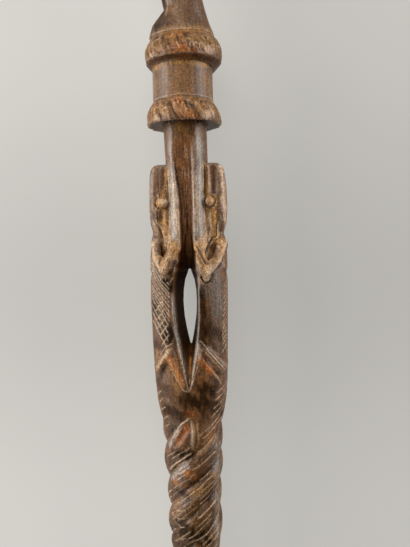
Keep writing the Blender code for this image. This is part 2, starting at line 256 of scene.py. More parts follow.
rope = {
    "tip": -103.0,       # height where the first groove starts, at the front
    "rise": 21.2,        # mm that a groove climbs in a quarter turn
    "fibres": 5,         # lines along each strand
    "foot": -204.0,
}


def ropeCuts(rng):
    # fibres run along every strand, each in a few broken lengths
    lines = []
    slope = rope["rise"] / 90.0
    levels = np.arange(rope["tip"] - 8.0, rope["foot"] - 60.0, -rope["rise"] / rope["fibres"])
    for level in levels:
        for turn in np.arange(-180.0, 180.0, 60.0):
            start = turn + rng.uniform(0.0, 25.0)
            end = start + rng.uniform(28.0, 56.0)
            points = [(a, level + slope * a + rng.uniform(-0.6, 0.6))
                      for a in np.linspace(start, end, 4)]
            if max(h for a, h in points) > rope["tip"] + slope * start - 4.0 and start > -60:
                continue
            if min(h for a, h in points) > rope["foot"]:
                lines.append((points, rng.uniform(0.45, 0.7), 0.55, rng.choice((-0.8, 0.6, 0.9))))
    return lines


def strandCuts():
    # the first strand starts as a tongue with a scooped face
    return [
        ([(-45, -170), (-30, -171), (-14, -170)], 0.7, 0.5, 0.8),
        ([(-52, -174), (-38, -178), (-12, -177)], 0.7, 0.5, 0.8),
        ([(-52, -180), (-34, -184), (-14, -182)], 0.6, 0.5, 0.6),
        ([(-27, -191), (-6, -189), (15, -185)], 0.7, 0.5, 0.8),
        ([(-16, -194), (-1, -193), (16, -191), (35, -188)], 0.7, 0.5, 0.8),
        ([(-36, -138), (-22, -137), (-12, -133)], 0.6, 0.5, 0.6),
        ([(1, -103), (-20, -109), (-42, -121)], 1.0, -0.9, 0.7),
        ([(2, -104), (7, -113), (4, -125)], 1.1, -0.7, 0.3),
        ([(-6, -112), (-20, -119), (-34, -125)], 3.6, 1.3, 0.0),
        ([(-30, -128), (-14, -130), (-4, -129)], 3.4, 0.9, -0.25),
        ([(10, -104), (12, -116), (10, -126)], 0.6, 0.5, -0.6),
        ([(15, -103), (17, -114), (18, -123)], 0.6, 0.5, 0.3),
        ([(3, -128), (-30, -136), (-62, -144)], 0.9, -0.5, 0.9),
        ([(32, -118), (52, -111), (82, -104)], 0.7, 0.5, 0.8),
    ]


def gutterCuts(rng):
    # the floor of the groove down the neck, left straight from the gouge
    lines = []
    for x in np.arange(-22.0, 22.0, 4.4):
        for low in range(26, 96, 14):
            wide = 0.6 + 0.006 * (low - 26)
            start, end = low + rng.uniform(0, 5), low + rng.uniform(9, 14)
            lines.append(([(x * wide, start), (x * wide + 1, end)], 0.45, 0.3,
                          rng.choice((-0.8, -0.5, 0.45))))
    return lines


def layLine(tree, points, face, spacing=cuts["spacing"]):
    # eases the points into a curve and drops it on the surface
    points = np.array(points, float)
    stretch = np.hypot(np.diff(points[:, 0]) * cuts["degree"], np.diff(points[:, 1]))
    at = np.concatenate(([0.0], np.cumsum(stretch)))
    count = max(3, int(at[-1] / spacing))
    share = np.linspace(0.0, at[-1], count)
    angle, height = np.interp(share, at, points[:, 0]), np.interp(share, at, points[:, 1])
    soft = np.ones(cuts["easing"]) / cuts["easing"]
    kept = cuts["easing"] // 2
    if count > cuts["short"]:
        for _ in range(cuts["rounds"]):
            angle[kept:-kept] = np.convolve(angle, soft, "valid")
            height[kept:-kept] = np.convolve(height, soft, "valid")
    laid = []
    for a, h in zip(angle, height):
        a = math.radians(a if face > 0 else 180.0 - a)
        out = Vector((math.sin(a), 0, math.cos(a)))
        hit = tree.ray_cast(out * cuts["outside"] + Vector((0, h, 0)), -out)[0]
        if hit:
            laid.append(hit)
    return laid


def layCuts(staff):
    rng = np.random.default_rng(cuts["seed"])
    tree = BVHTree.FromObject(staff, bpy.context.evaluated_depsgraph_get())
    bothFaces = scaleCuts() + limbCuts() + headCuts() + gutterCuts(rng)
    allRound = collarCuts(rng) + ropeCuts(rng) + strandCuts()
    points, edges, sizes = [], [], []
    for face, lines in ((1, bothFaces + allRound), (-1, bothFaces)):
        for line, width, depth, tone in lines:
            laid = layLine(tree, line, face)
            stray = rng.normal(0.0, cuts["waver"], 3)
            for i, spot in enumerate(laid):
                wave = math.sin(3.0 * i / len(laid) + 9.0 * stray[0])
                fade = min(1.0, (i + 1) / cuts["easing"], (len(laid) - i) / cuts["easing"])
                points.append(spot + Vector((0, stray[1] + 0.5 * cuts["waver"] * wave, 0)))
                sizes.append((width * (0.6 + 0.4 * fade), depth * fade, tone * fade))
                if i:
                    edges.append((len(points) - 2, len(points) - 1))
    mesh = bpy.data.meshes.new("cutLines")
    mesh.from_pydata(points, edges, [])
    for i, name in enumerate(("width", "depth", "tone")):
        storeMask(mesh, name, np.array([size[i] for size in sizes]))
    lines = bpy.data.objects.new("cutLines", mesh)
    bpy.context.scene.collection.objects.link(lines)
    return lines


def cutterTree():
    # every point of the skin sinks by the depth of the nearest line, less towards its edge
    tree = bpy.data.node_groups.new("cutLinesIntoSkin", "GeometryNodeTree")
    for name, way, kind in (("Skin", "INPUT", "NodeSocketGeometry"),
                            ("Lines", "INPUT", "NodeSocketObject"),
                            ("Depth", "INPUT", "NodeSocketFloat"),
                            ("Material", "INPUT", "NodeSocketMaterial"),
                            ("Skin", "OUTPUT", "NodeSocketGeometry")):
        tree.interface.new_socket(name, in_out=way, socket_type=kind)
    given = addNode(tree, "NodeGroupInput").outputs
    lines = addNode(tree, "GeometryNodeObjectInfo", {"Object": given["Lines"]}).outputs["Geometry"]
    nearest = addNode(tree, "GeometryNodeSampleNearest", {0: lines}, domain="POINT").outputs[0]
    away = addNode(tree, "GeometryNodeProximity", {0: lines}, target_element="EDGES")

    ofLine = {}
    for name in ("width", "depth", "tone"):
        value = addNode(tree, "GeometryNodeInputNamedAttribute", {"Name": name},
                        data_type="FLOAT").outputs[0]
        ofLine[name] = addNode(tree, "GeometryNodeSampleIndex", {
            0: lines, 1: value, "Index": nearest}, data_type="FLOAT", domain="POINT").outputs[0]
    near = addNode(tree, "ShaderNodeMapRange", {
        "Value": away.outputs["Distance"], "From Min": ofLine["width"], "From Max": 0.0},
        interpolation_type="SMOOTHSTEP").outputs[0]
    sink = near
    for factor in (ofLine["depth"], given["Depth"], -1.0):
        sink = addNode(tree, "ShaderNodeMath", {0: sink, 1: factor},
                       operation="MULTIPLY").outputs[0]
    tone = addNode(tree, "ShaderNodeMath", {0: near, 1: ofLine["tone"]}, operation="MULTIPLY")
    shift = addNode(tree, "ShaderNodeVectorMath", {
        0: addNode(tree, "GeometryNodeInputNormal").outputs[0], "Scale": sink}, operation="SCALE")
    marked = addNode(tree, "GeometryNodeStoreNamedAttribute", {
        "Geometry": given["Skin"], "Name": "tone", "Value": tone.outputs[0]},
        data_type="FLOAT", domain="POINT")
    cut = addNode(tree, "GeometryNodeSetPosition", {
        "Geometry": marked.outputs[0], "Offset": shift.outputs[0]})
    real = addNode(tree, "GeometryNodeRealizeInstances", {"Geometry": cut.outputs[0]})
    done = addNode(tree, "GeometryNodeSetMaterial", {
        "Geometry": real.outputs[0], "Material": given["Material"]})
    addNode(tree, "NodeGroupOutput", {"Skin": done.outputs[0]})
    return tree


def cutLines(staff, lines, material):
    tree = cutterTree()
    modifier = staff.modifiers.new("cutLines", "NODES")
    modifier.node_group = tree
    sockets = {item.name: item.identifier for item in tree.interface.items_tree
               if item.in_out == "INPUT"}
    for name, value in (("Lines", lines), ("Depth", cuts["deeper"]), ("Material", material)):
        modifier[sockets[name]] = value
    result = evaluated(staff)
    staff.modifiers.clear()
    staff.data = result
    bpy.data.objects.remove(lines)


# Broad carving: the groove down the neck, the eyes, and the lumps of the collars.
gutter = {
    # height, left and right edge and floor at the front, all mm
    "levels": ((104, -9.6, 7.6, 14.8), (90, -9.2, 7.4, 12.8), (77, -8.5, 7.0, 10.8),
               (54, -5.6, 6.2, 9.6), (30, -4.4, 5.6, 9.0), (12, -4.0, 5.0, 8.0)),
    "ends": (4, 16, 94, 108),   # heights between which it fades in and out
    "wall": 2.4,         # mm across each wall
    "middle": 3.0,       # mm from the staff's middle plane, in which it takes no channel colour
}
eyes = {
    "centre": (17.4, 52.6, 10.2),
    "facing": (0.2, 0.0, 0.98),
    "reach": 5.4,
    "rise": 1.7,         # mm that the trimmed boss stands above its centre
    "lozenge": (3.6, 4.6),   # mm from its middle, across and along
    "bevel": (0.85, 1.25),   # shares of that where the edge falls away
    "trimmed": 0.8,      # share of the wood outside it that is cut off
}
collars = {
    # foot, top and ridge of each carved band
    "bands": ((157.5, 173.0, 176.8), (110.5, 123.5, 127.2)),
    "lump": 5.4,         # mm across a lump
    "row": 16.0,         # mm along it
    "lean": 0.7,         # degrees round for a mm along
    "odd": 0.3,          # share of a lump's width that it strays, and of lumps cut in two
    "crack": 2.4,        # mm from a crack's middle to its edge
    "depth": 0.75,       # mm sunk
    "worn": (0.15, 0.65),   # share left of a worn crack, and what the others have more
    "dome": (0.5, 3.0),  # mm that a lump stands up, and its radius
    "degree": 0.45,      # mm round the rim for a degree
    "core": 16,          # mm from the axis, under which nothing is cut
    "seed": 5,
    "crackShade": 0.75,   # share of the shade colour in a crack
    "underShade": 0.65,   # and under a collar
    "drum": 140,         # height of the drum's middle
    "nearDrum": (24.5, 23.0, 0.7),   # radii between which the painted shade thins, and by what share
    "besideNeck": (9, 20, 0.5),      # the same to both sides of the neck
}


def insideGutter(co):
    heights, left, right, floor = np.array(gutter["levels"][::-1], float).T
    low, high = np.interp(co[:, 1], heights, left), np.interp(co[:, 1], heights, right)
    side = smoothStep(0.0, gutter["wall"], np.minimum(co[:, 0] - low, high - co[:, 0]))
    return side * hump(co[:, 1], *gutter["ends"]), np.interp(co[:, 1], heights, floor)


def sinkGutter(co):
    share, floor = insideGutter(co)
    depth = np.abs(co[:, 2])
    sunk = np.where(depth > floor, depth + (floor - depth) * share, depth)
    co[:, 2] = np.sign(co[:, 2]) * sunk
    return np.where(depth > gutter["middle"], share, 0.0)


def trimEyes(co):
    # each boss is cut flat on top and to a lozenge round about
    facing = np.array(eyes["facing"])
    aside = np.abs(co) * (1, 0, 1) + co * (0, 1, 0) - eyes["centre"]
    over = aside @ facing
    across, along = aside @ (facing[2], 0.0, -facing[0]), aside[:, 1]
    outside = np.abs(across) / eyes["lozenge"][0] + np.abs(along) / eyes["lozenge"][1]
    kept = eyes["rise"] * (1.0 - smoothStep(*eyes["bevel"], outside))
    near = np.linalg.norm(aside, axis=1) < eyes["reach"]
    trim = np.where(near, np.maximum(over - kept, 0.0) * eyes["trimmed"], 0.0)
    co -= trim[:, None] * facing * np.sign(co) * (1, 0, 1)


def lumpCollars(co):
    # cells of no two sizes with cracks between them; the cracks' share comes back
    rng = np.random.default_rng(collars["seed"])
    crack = np.zeros(len(co))
    turn = np.degrees(np.arctan2(co[:, 0], co[:, 2]))
    radius = np.maximum(np.hypot(co[:, 0], co[:, 2]), 1.0)
    for low, high, _ in collars["bands"]:
        inside = np.flatnonzero(
            (co[:, 1] > low - 3) & (co[:, 1] < high + 2) & (radius > collars["core"]))
        grid = []
        count = int(360 * collars["degree"] / collars["lump"])
        for i in range(count):
            a = (i + rng.uniform(-collars["odd"], collars["odd"])) * 360 / count - 180
            height = rng.uniform(low + 3.0, high - 3.0)
            grid.append((a, height))
            if rng.random() < collars["odd"]:
                grid.append((a + rng.uniform(-3, 3), height + rng.choice((-7.0, 7.0))))
        grid = np.array(grid)
        first = np.full(len(inside), 99.0)
        second = first.copy()
        for a, h in grid:
            above = co[inside, 1] - h
            aside = (turn[inside] - a + above * collars["lean"] + 180) % 360 - 180
            far = np.hypot(aside * collars["degree"], above * collars["lump"] / collars["row"])
            second = np.minimum(second, np.maximum(first, far))
            first = np.minimum(first, far)
        edge = 1.0 - smoothStep(0.0, collars["crack"], second - first)
        # some of the cracks are worn shallow
        sharp = np.sin(turn[inside] * 0.13 + co[inside, 1] * 0.5)
        sharp *= np.sin(turn[inside] * 0.05 + low)
        least, more = collars["worn"]
        edge *= least + more * smoothStep(-0.45, 0.55, sharp)
        span = hump(co[inside, 1], low - 1.5, low + 1.0, high - 0.5, high + 1.5)
        crack[inside] = edge * span
        rise, reach = collars["dome"]
        dome = (1.0 - smoothStep(0.0, reach, first)) * span
        shift = (rise * dome - collars["depth"] * crack[inside]) / radius[inside]
        co[inside, 0] *= 1.0 + shift
        co[inside, 2] *= 1.0 + shift
    return crack


slit = {
    "middle": 0.5,
    # height, and width to the left and right of the middle at the surface, mm
    "levels": ((40, 1.2, 1.2), (30, 3.6, 3.6), (18, 6.0, 6.0), (9, 8.2, 7.8), (-4, 10.6, 8.9),
               (-20, 11.0, 8.9), (-40, 9.6, 8.1), (-51, 7.4, 6.6), (-64, 4.4, 4.1),
               (-76, 2.2, 2.2), (-88, 0.5, 0.5)),
    # mm in from the edge where the painted shade on the wall starts and is full, and its share
    "wall": (1.2, 3.6, 0.85),
    "wallSpan": (-66, -48, 4, 26),   # heights where it fades in and out
    # mm in from the edge where the pale rim, a painted sheen, fades in and out
    "rim": (-0.6, 0.4, 0.8, 2.6),
    "rimFoot": (-84, -70),           # heights where it fades in
    "rimTop": (-22.0, 6.0, 12.0),    # where it starts to fade on the left and right, and how long
}


def insideSlit(co):
    # mm in from the nearer edge of the slit
    heights, left, right = np.array(slit["levels"][::-1], float).T
    left = np.interp(co[:, 1], heights, left, left=-9.0, right=-9.0)
    right = np.interp(co[:, 1], heights, right, left=-9.0, right=-9.0)
    aside = co[:, 0] - slit["middle"]
    return np.minimum(left + aside, right - aside)


def shadeUnderCollars(co, out):
    # painted shade on the undersides, thinner towards the drum and away from the neck
    height = co[:, 1]
    low, top = collars["bands"][1][0] - 7, collars["bands"][0][2]
    under = smoothStep(0.1, 0.6, -out[:, 1]) * ((height > low) & (height < top))
    first, last, share = collars["nearDrum"]
    far = smoothStep(first, last, np.hypot(co[:, 0], co[:, 2])) * (height > collars["drum"])
    under *= 1.0 - share * far
    first, last, share = collars["besideNeck"]
    aside = smoothStep(first, last, np.abs(co[:, 0])) * (height < collars["drum"])
    return collars["underShade"] * under * (1.0 - share * aside)


def shadeSlit(co):
    # painted shade on the wall inside the slit, and a pale rim of painted sheen along its edge
    inside, height = insideSlit(co), co[:, 1]
    first, last, share = slit["wall"]
    wall = share * smoothStep(first, last, inside) * hump(height, *slit["wallSpan"])
    left, right, fade = slit["rimTop"]
    top = np.where(co[:, 0] < slit["middle"], left, right)
    rim = hump(inside, *slit["rim"]) * hump(height, *slit["rimFoot"], top, top + fade)
    return wall, rim


def carve(staff):
    mesh = staff.data
    co = coordinates(mesh)
    trimEyes(co)
    channel = sinkGutter(co)
    shade = collars["crackShade"] * lumpCollars(co)
    rng = np.random.default_rng(block["seed"])
    uneven = rng.normal(0.0, block["chatter"], len(co)) * (co[:, 1] > block["carvedDown"])
    uneven *= np.where(co[:, 2] > -2.0, 1.0, block["backChatter"])
    co += normals(mesh) * uneven[:, None]
    setCoordinates(mesh, co)
    wall, rim = shadeSlit(co)
    storeMask(mesh, "channel", channel)
    # painted shade in the collars' cracks and on their undersides
    storeMask(mesh, "shade", np.maximum(shade, shadeUnderCollars(co, normals(mesh))))
    # painted shade on the slit's walls, and painted sheen along its edge
    storeMask(mesh, "depth", wall)
    storeMask(mesh, "rim", rim)


# Where the wood took colour, with painted shade, sheen and highlights among it, as strokes of a
# rag:
# from, to, reach in mm and strength, with the ends given as for the cuts.
stains = {
    "ember": (
        # collars and drum
        ((-8, 168), (10, 158), 9.0, 0.9), ((-50, 162), (50, 162), 8.0, 0.6),
        ((-4, 121), (16, 114), 9.0, 0.9), ((-50, 117), (50, 117), 7.0, 0.5),
        # hind limbs and the leaf below the slit
        ((0, -50), (4, -72), 4.0, 0.8), ((20, -61), (46, -71), 3.4, 0.6),
        ((-33, -60), (-10, -79), 2.6, 0.85), ((-3, -100), (5, -100), 3.0, 0.4),
        # rope
        ((44, -118), (60, -112), 5.0, 0.5), ((-8, -111), (-26, -122), 5.0, 0.65),
        ((-8, -142), (5, -146), 3.6, 0.6), ((-37, -150), (-15, -153), 2.6, 0.5),
    ),
    "ochre": (
        # knob and upper neck
        ((0, 203), (0, 185), 10.0, 0.2),
        # collars and drum
        ((-50, 178.5), (70, 178.5), 3.0, 0.4), ((-90, 175), (90, 175), 2.0, 0.5),
        ((-18, 166), (22, 166), 8.0, 0.3), ((-90, 166), (-18, 166), 8.0, 0.8),
        ((22, 166), (90, 166), 8.0, 0.8), ((-70, 152), (60, 153), 3.0, 0.3),
        ((-60, 151.5), (60, 151.5), 2.6, 0.6), ((-78, 139), (-46, 139), 11.0, 0.2),
        ((44, 139), (76, 139), 11.0, 0.2), ((-6, 149), (6, 129), 17.0, 0.2),
        ((-90, 126), (90, 126), 1.6, 0.4), ((-16, 118), (24, 118), 7.0, 0.4),
        ((-90, 118), (-16, 118), 7.0, 0.6), ((24, 118), (90, 118), 7.0, 0.6),
        ((-8, 106), (8, 104), 4.5, 0.5),
        # neck and heads
        ((64, 80), (60, 56), 1.8, 0.8), ((77, 78), (73, 53), 2.0, 0.4),
        ((-52, 76), (-52, 34), 2.2, 0.9), ((-60, 79), (-57, 30), 1.8, 0.8),
        ((-57, 52.6), (-63, 52.6), 5.0, 0.7), ((57, 52.6), (63, 52.6), 5.0, 0.7),
        ((59, 80), (58, 18), 1.8, 0.9), ((-64, 38), (-60, 24), 3.4, 0.9),
        ((65, 46), (70, 16), 3.4, 0.9),
        # forelimbs
        ((-60, 40), (-50, 16), 3.8, 1.0), ((41, 27), (40, 12), 2.4, 0.9),
        # the wide strokes from (-58, 24) and (58, 24) are painted light in the shaded recesses
        # inside the forelimbs
        ((51, 25), (46, 12), 3.2, 0.9), ((-58, 24), (-50, 12), 5.6, 0.8),
        ((58, 24), (48, 10), 5.6, 0.8), ((-68, 22), (-58, 11), 3.2, 0.6),
        ((-14, 20), (-22, 13), 3.0, 0.6), ((70, 22), (59, 9), 3.0, 0.8),
        ((33, 4), (23, 20), 3.0, 0.8), ((-37, 1), (-25, 22), 3.0, 0.5),
        ((-58, 11), (-40, 2), 3.4, 0.6), ((-44, -2), (-36, 14), 2.6, 0.5),
        ((59, 9), (42, 2), 3.0, 0.7), ((38, 4), (34, -4), 4.0, 1.0),
        # hind limbs and the leaf below the slit
        ((-60, -56), (-62, -60), 4.0, 0.4), ((-32, -55), (-55, -70), 3.0, 0.5),
        ((2, -62), (2, -78), 3.0, 0.8), ((-30, -62), (-20, -90), 5.0, 0.3),
        # rope
        ((9, -108), (12, -124), 3.6, 0.5), ((20, -128), (60, -118), 3.0, 0.6),
        ((0, -160), (50, -148), 5.0, 0.5), ((10, -182), (60, -170), 5.0, 0.2),
        ((-30, -170), (50, -196), 14.0, 0.22),
    ),
    "soot": (
        # dark patina and dirt, with painted shade under the lower collar, in the right head's
        # recess and under the elbows
        # knob and upper neck
        ((-80, 205), (70, 200), 12.0, 0.3), ((0, 204), (20, 186), 6.0, 0.35),
        ((-75, 205), (-60, 182), 10.0, 0.8), ((60, 205), (65, 182), 9.0, 0.35),
        ((-60, 196), (-40, 186), 8.0, 0.4), ((-80, 190), (-30, 184), 9.0, 0.5),
        # collars and drum
        ((-52, 172), (-46, 164), 2.4, 0.5), ((44, 170), (50, 163), 2.2, 0.5),
        ((-28, 171), (-20, 160), 2.8, 0.7), ((12, 171), (22, 160), 2.8, 0.7),
        ((-90, 165), (90, 165), 10.0, 0.55), ((-42, 145), (-41, 129), 5.5, 0.32),
        ((34, 145), (37, 129), 5.5, 0.32), ((-20, 122), (-13, 113), 2.4, 0.7),
        ((16, 122), (24, 113), 2.4, 0.7), ((-42, 121), (-36, 114), 2.0, 0.5),
        ((36, 121), (42, 114), 2.0, 0.5), ((-90, 117), (90, 117), 9.0, 0.35),
        # painted shade under the lower collar
        ((-60, 110), (60, 110), 1.6, 0.5),
        # neck and heads
        # (71, 80) is painted shade in the right head's recess
        ((4, 95), (8, 68), 2.2, 0.35), ((71, 80), (67, 60), 3.2, 0.3),
        ((-72, 45), (-66, 41), 3.4, 0.5), ((75, 42), (76, 32), 3.0, 0.4),
        ((-68, 36), (-70, 28), 1.2, 0.3),
        # forelimbs
        ((66, 25), (48, 9), 1.2, 0.3), ((-50, 23), (-45, 8), 1.2, 0.3),
        ((-30, 10), (-28, 0), 2.0, 0.4), ((-24, 8), (-27, 0), 3.0, 0.8),
        # painted shadow under the right elbow
        ((46, -4), (34, -9), 2.2, 0.8),
        # bodies
        # the first stroke is painted shadow under the left elbow
        ((-36, -5), (-24, -12), 5.0, 1.2), ((-62, -2), (-34, -22), 7.0, 0.45),
        ((50, -2), (58, -28), 12.0, 0.5), ((28, -12), (30, -50), 5.0, 1.0),
        ((-46, -24), (-40, -38), 6.0, 0.5), ((22, -14), (24, -48), 4.5, 0.9),
        ((-70, -20), (-50, -44), 8.0, 0.3), ((-58, -22), (-34, -44), 9.0, 1.1),
        ((24, -36), (62, -46), 13.0, 0.75), ((-60, -48), (-44, -52), 5.0, 0.5),
        ((-70, -50), (-40, -54), 6.0, 0.6),
        # hind limbs and the leaf below the slit
        ((-44, -66), (-52, -74), 3.4, 0.7), ((46, -75), (54, -79), 3.0, 0.6),
        ((28, -83), (46, -86), 6.5, 0.9), ((-60, -80), (-20, -90), 9.0, 0.5),
        ((-8, -90), (26, -93), 9.0, 0.9), ((-58, -84), (-46, -100), 6.0, 0.35),
        ((30, -95), (70, -100), 11.0, 0.75), ((-50, -99), (-12, -101), 6.5, 0.8),
        # rope
        ((-90, -110), (90, -104), 4.0, 0.3), ((-60, -104), (40, -132), 9.0, 0.4),
        ((-12, -120), (-24, -126), 3.0, 0.4), ((60, -100), (64, -150), 8.0, 0.35),
        ((-30, -128), (-4, -130), 6.0, 0.8), ((-90, -140), (90, -120), 9.0, 0.35),
        ((20, -134), (50, -126), 3.0, 0.5), ((0, -150), (50, -140), 6.0, 0.5),
        ((-90, -165), (90, -150), 10.0, 0.3), ((-35, -157), (-6, -161), 4.0, 0.8),
        ((0, -168), (50, -156), 4.0, 0.4), ((-20, -172), (60, -160), 6.0, 0.4),
        ((36, -150), (46, -184), 9.0, 0.7), ((-60, -186), (70, -176), 9.0, 0.4),
        ((-90, -190), (90, -180), 10.0, 0.4), ((-24, -182), (34, -192), 9.0, 0.95),
        ((10, -176), (52, -200), 13.0, 0.6), ((-22, -186), (12, -192), 6.0, 0.9),
        ((-40, -196), (40, -186), 12.0, 0.4), ((-70, -192), (60, -206), 12.0, 0.6),
    ),
    "rubbed": (
        # pale where hands have worn the wood, with painted highlights and glints among them
        # knob and upper neck
        ((-42, 203), (-36, 190), 1.0, 0.5),
        # collars and drum
        # painted highlights: glints on the lower sides of both collars, at (44, 160), (-52, 159),
        # (44, 114) and (-46, 113)
        ((-30, 160), (-48, 166), 1.4, 0.5), ((44, 160), (52, 160), 3.4, 0.9),
        ((-52, 159), (-44, 158), 2.4, 1.0), ((44, 114), (54, 116), 3.8, 0.9),
        ((-46, 113), (-38, 112), 2.6, 0.9),
        # neck and heads
        # painted highlights on the lit outer ridge of the right head, on these two lines and on
        # the strokes from (73, 55) and (82, 50)
        ((82, 79), (78, 56), 2.0, 0.8), ((77, 79), (73, 55), 2.2, 1.0),
        ((80, 74), (79, 44), 4.0, 0.6), ((36, 72), (33, 36), 2.0, 0.4),
        ((-48, 53), (-54, 54), 2.8, 0.8), ((57, 53), (61, 50), 2.4, 0.5),
        # (72, 53) is a painted glint beside the right eye, and (-31, 66) is the left lobe's
        # painted highlight
        ((72, 53), (76, 49), 2.0, 1.0), ((-31, 66), (-24, 30), 1.8, 1.0),
        ((73, 55), (78, 40), 3.6, 0.9), ((82, 50), (83, 36), 2.6, 0.7),
        # (-82, 46) is a painted glint on the left head's outer edge
        ((-82, 46), (-80, 40), 2.2, 0.9), ((62, 44), (60, 30), 1.2, 0.6),
        ((56, 44), (60, 22), 1.6, 0.5), ((-60, 45), (-62, 20), 1.8, 0.5),
        ((-68, 38), (-66, 24), 3.4, 0.5), ((64, 40), (69, 20), 1.6, 0.6),
        # forelimbs
        ((-64, 36), (-60, 20), 2.2, 0.5), ((-58, 36), (-52, 12), 2.0, 0.5),
        ((-67, 26), (-62, 11), 2.6, 0.8), ((-60, 26), (-55, 11), 2.8, 0.75),
        # the wide strokes from (-57, 24) and (57, 24) are painted light in the shaded recesses
        # inside the forelimbs
        ((-57, 24), (-50, 12), 5.6, 0.6), ((57, 24), (48, 11), 5.6, 0.65),
        ((74, 22), (62, 8), 2.6, 0.9), ((-34, 4), (-31, 14), 1.6, 0.6),
        ((-37, 0), (-31, 14), 2.0, 0.6), ((-60, 11), (-42, 2), 2.6, 0.9),
        ((60, 8), (44, 1), 2.0, 0.8), ((41, 4), (37, -3), 3.8, 1.0),
        # bodies
        ((-48, -18), (-46, -34), 3.0, 0.3),
        # hind limbs and the leaf below the slit
        # painted highlight: a glint on the left knee
        ((-33, -55), (-38, -59), 1.6, 1.0),
        # rope
        ((-14, -109), (-36, -118), 1.0, 0.7),
    ),
    "bloom": (
        # painted sheen: grey where glossy wood would mirror the lamps, on the drum, lobes, limbs
        # and rope
        # collars and drum
        ((-72, 145), (-71, 129), 6.0, 0.4), ((72, 145), (72, 129), 5.0, 0.2),
        # neck and heads
        ((-42, 96), (-40, 80), 5.0, 0.5), ((46, 96), (42, 78), 6.0, 0.6),
        ((-80, 70), (-80, 45), 4.0, 0.7), ((-52, 76), (-50, 34), 2.0, 0.7),
        ((-40, 76), (-34, 28), 5.0, 0.85), ((42, 76), (38, 28), 6.0, 0.9),
        ((-36, 66), (-32, 34), 3.0, 1.0),
        # forelimbs
        ((-70, 20), (-66, 0), 5.0, 0.4), ((64, 11), (50, 1), 1.6, 0.7),
        # bodies
        ((46, -6), (60, -24), 10.0, 0.32), ((24, 8), (19, -60), 1.6, 0.8),
        ((-60, -20), (-50, -36), 9.0, 0.15),
        # rope
        ((5, -108), (4, -124), 1.8, 0.6), ((-24, -111), (-46, -123), 2.6, 0.9),
        ((50, -138), (70, -132), 3.0, 0.5), ((62, -126), (66, -150), 5.0, 0.4),
        ((-10, -138), (-46, -147), 3.0, 0.8), ((-20, -166), (10, -160), 2.6, 0.5),
        ((62, -165), (62, -200), 5.0, 0.35),
    ),
}


rag = {
    "spacing": 1.0,      # mm between the points of a stroke
    "solid": 0.15,       # share of a stroke's reach that takes its full colour
    "edge": 1.2,         # share of the reach where the colour ends
    "ragged": 0.3,       # share of the reach that the edge strays
    "hidden": 0.6,       # strength on the hidden face
    "seed": 8,
    "waves": 10,
    "sum": 3.2,          # size of their sum that counts as 1
    "wave": 0.75,        # radians in a mm
    "drawn": 0.45,       # share of that along the staff
}


def ragged(co):
    # slow unevenness between -1 and 1, drawn out along the staff
    rng = np.random.default_rng(rag["seed"])
    total = np.zeros(len(co), np.float32)
    for _ in range(rag["waves"]):
        way = rng.normal(0.0, 1.0, 3) * (1.0, rag["drawn"], 1.0)
        total += np.sin(co @ (way * rag["wave"]).astype(np.float32) + rng.uniform(0.0, 6.3))
    return np.clip(total / rag["sum"], -1.0, 1.0)


def stain(staff):
    # each stroke colours the skin near its path; the hidden face is stained more faintly
    co = coordinates(staff.data)
    stray = ragged(co)
    tree = BVHTree.FromObject(staff, bpy.context.evaluated_depsgraph_get())
    for name, strokes in stains.items():
        amount = np.zeros(len(co))
        for start, end, reach, strength in strokes:
            for face, share in ((1, 1.0), (-1, rag["hidden"])):
                path = np.array(layLine(tree, (start, end), face, rag["spacing"]))
                if not len(path):
                    continue
                far = (rag["edge"] + rag["ragged"]) * reach
                low, high = path.min(0) - far, path.max(0) + far
                near = np.flatnonzero(np.all((co > low) & (co < high), 1))
                gap = np.full(len(near), far, np.float32)
                for spot in path:
                    gap = np.minimum(gap, np.linalg.norm(co[near] - spot, axis=1))
                gap = np.maximum(gap + rag["ragged"] * reach * stray[near], 0.0)
                taken = 1.0 - smoothStep(rag["solid"] * reach, rag["edge"] * reach, gap)
                amount[near] = np.maximum(amount[near], strength * share * taken)
        storeMask(staff.data, name, np.minimum(amount, 1.0))


def addNode(tree, kind, inputs=None, **settings):
    # inputs: socket name or number -> a value, or the output socket to link from
    node = tree.nodes.new(kind)
    for name, value in settings.items():
        setattr(node, name, value)
    for key, value in (inputs or {}).items():
        socket = node.inputs[key]
        if isinstance(value, bpy.types.NodeSocket):
            tree.links.new(value, socket)
        else:
            socket.default_value = value
    return node


def linear(hexColour):
    # sRGB hex to linear RGBA
    parts = [int(hexColour[i:i + 2], 16) / 255 for i in (1, 3, 5)]
    return [c / 12.92 if c <= 0.04045 else ((c + 0.055) / 1.055) ** 2.4 for c in parts] + [1.0]


